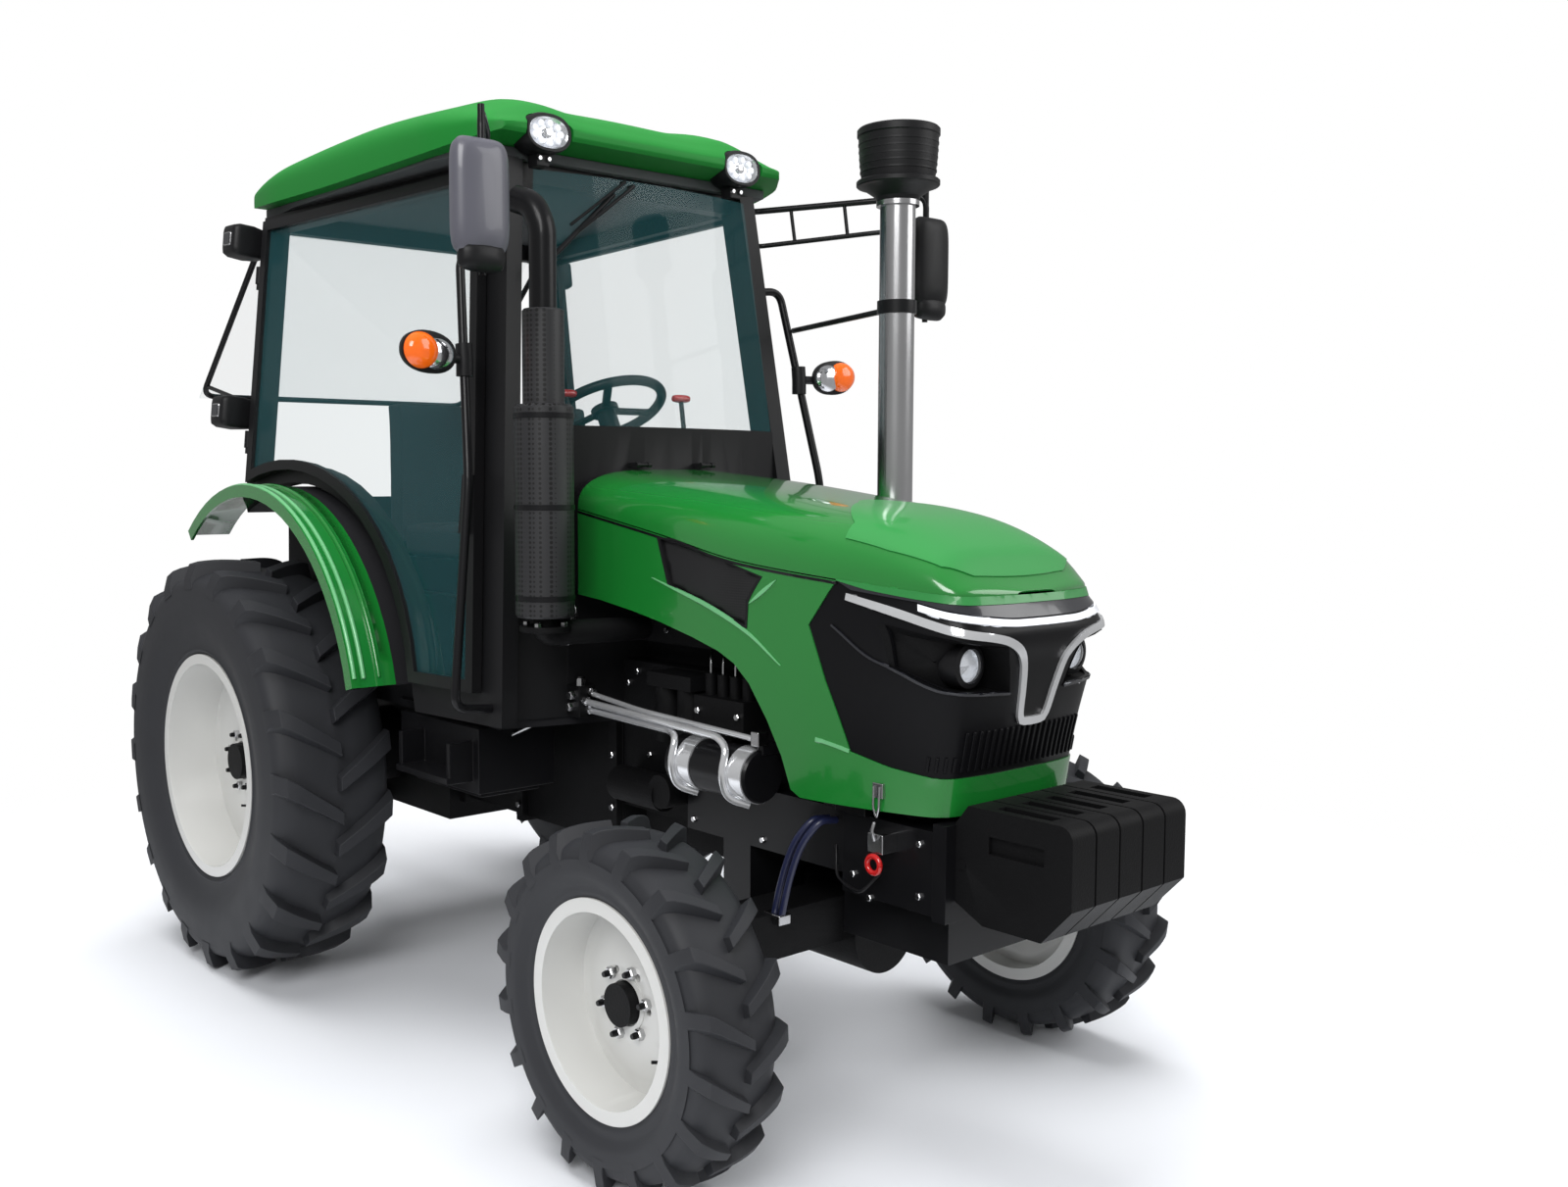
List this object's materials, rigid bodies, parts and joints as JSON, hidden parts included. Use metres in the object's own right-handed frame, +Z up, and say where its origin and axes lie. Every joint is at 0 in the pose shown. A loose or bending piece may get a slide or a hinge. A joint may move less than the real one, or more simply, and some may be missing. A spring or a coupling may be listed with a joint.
{
  "type": "farm tractor",
  "caption": "Four-wheel-drive farm tractor with a glazed cab, lift-up hood, front weights, upright exhaust and intake stack, and a rear three-point hitch",
  "frame": {"origin": "middle of the bounding box on the ground", "axes": "+X forward, +Y to the tractor's left, +Z up"},
  "size_m": [3.888, 1.966, 2.838],
  "materials": {
    "paint_green": "gloss",
    "coat_black": "satin",
    "cast_black": "matt",
    "rim_white": "gloss",
    "tyre_black": "matt",
    "bright": "polished",
    "clear_glass": "clear",
    "lamp_white": "clear",
    "amber": "gloss",
    "red": "gloss",
    "grey_trim": "matt",
    "cloth": "woven"
  },
  "bodies": {
    "chassis": {"engine": "cast_black", "transmission": "cast_black", "front_frame": "coat_black", "front_axle": "cast_black", "front_weights": "coat_black", "radiator": "coat_black", "exhaust": "coat_black", "intake_stack": "bright", "hydraulic_lines": "coat_black", "side_steps": "coat_black", "cab_tub": "coat_black", "cab_frame": "coat_black", "firewall": "coat_black", "roof": "paint_green", "headliner": "grey_trim", "windscreen": "clear_glass", "rear_window": "clear_glass", "mudguards": "paint_green", "seat_base": "coat_black", "seat_cushion": "cloth", "seat_back": "cloth", "dash_console": "coat_black", "steering_wheel": "coat_black", "mirrors": "coat_black", "grab_rails": "coat_black", "turn_lamps": "amber", "work_lamps": "lamp_white", "rear_lamps": "coat_black", "tail_lamps": "red", "hand_levers": "red", "wiper": "coat_black", "tow_hitch": "coat_black"},
    "hood": {"hood_shell": "paint_green", "side_vents": "coat_black", "nose_grille": "coat_black", "head_lamps": "lamp_white"},
    "door_right": {"door_right": "coat_black", "door_glass_right": "clear_glass"},
    "door_left": {"door_left": "coat_black", "door_glass_left": "clear_glass"},
    "knuckle_right": {"knuckle_right": "cast_black"},
    "knuckle_left": {"knuckle_left": "cast_black"},
    "steering_rod": {"steering_rod": "bright"},
    "front_wheel_right": {"front_tyre_right": "tyre_black", "front_rim_right": "rim_white"},
    "front_wheel_left": {"front_tyre_left": "tyre_black", "front_rim_left": "rim_white"},
    "rear_wheel_right": {"rear_tyre_right": "tyre_black", "rear_rim_right": "rim_white"},
    "rear_wheel_left": {"rear_tyre_left": "tyre_black", "rear_rim_left": "rim_white"},
    "lift_arms": {"lift_arms": "cast_black"},
    "lift_rods": {"lift_rods": "cast_black"},
    "lower_links": {"lower_links": "cast_black"}
  },
  "joints": [
    {"name": "hood_lift", "type": "hinge", "parent": "chassis", "child": "hood", "pos_m": [0.344, 0, 1.708], "axis": [0, -1, 0], "range_deg": [0, 48]},
    {"name": "door_right_swing", "type": "hinge", "parent": "chassis", "child": "door_right", "pos_m": [-1.17877, -0.77323, 1.05901], "axis": [0.0081, -0.099, -0.9951], "range_deg": [0, 70]},
    {"name": "door_left_swing", "type": "hinge", "parent": "chassis", "child": "door_left", "pos_m": [-1.17877, 0.77323, 1.05901], "axis": [-0.0081, -0.099, 0.9951], "range_deg": [0, 70]},
    {"name": "steer_right", "type": "hinge", "parent": "chassis", "child": "knuckle_right", "pos_m": [1.098, -0.62, 0.521], "axis": [0, 0, 1], "range_deg": [-42, 42]},
    {"name": "steer_left", "type": "hinge", "parent": "chassis", "child": "knuckle_left", "pos_m": [1.098, 0.62, 0.521], "axis": [0, 0, 1], "range_deg": [-42, 42]},
    {"name": "steer_push", "type": "slide", "parent": "chassis", "child": "steering_rod", "axis": [0, 1, 0], "range_m": [-0.075, 0.075]},
    {"name": "front_wheel_right_spin", "type": "hinge", "parent": "knuckle_right", "child": "front_wheel_right", "pos_m": [1.098, -0.759, 0.431], "axis": [0, 1, 0], "continuous": true},
    {"name": "rear_wheel_right_spin", "type": "hinge", "parent": "chassis", "child": "rear_wheel_right", "pos_m": [-1.014, -0.788, 0.697], "axis": [0, 1, 0], "continuous": true},
    {"name": "front_wheel_left_spin", "type": "hinge", "parent": "knuckle_left", "child": "front_wheel_left", "pos_m": [1.098, 0.759, 0.431], "axis": [0, 1, 0], "continuous": true},
    {"name": "rear_wheel_left_spin", "type": "hinge", "parent": "chassis", "child": "rear_wheel_left", "pos_m": [-1.014, 0.788, 0.697], "axis": [0, 1, 0], "continuous": true},
    {"name": "link_lift", "type": "hinge", "parent": "chassis", "child": "lower_links", "pos_m": [-1.164, 0, 0.48], "axis": [0, 1, 0], "range_deg": [-10, 30]},
    {"name": "arm_lift", "type": "hinge", "parent": "chassis", "child": "lift_arms", "pos_m": [-1.33, 0, 0.88], "axis": [0, 1, 0], "range_deg": [-14, 41]},
    {"name": "rod_tilt", "type": "hinge", "parent": "lift_arms", "child": "lift_rods", "pos_m": [-1.64, 0, 0.925], "axis": [0, 1, 0], "range_deg": [-41, 14]}
  ],
  "couplings": [
    {"joint": "steer_left", "follows": "steer_right", "ratio": 1},
    {"joint": "steer_push", "follows": "steer_right", "m_per_rad": -0.1004},
    {"joint": "arm_lift", "follows": "link_lift", "ratio": 1.34},
    {"joint": "rod_tilt", "follows": "link_lift", "ratio": -1.34}
  ]
}
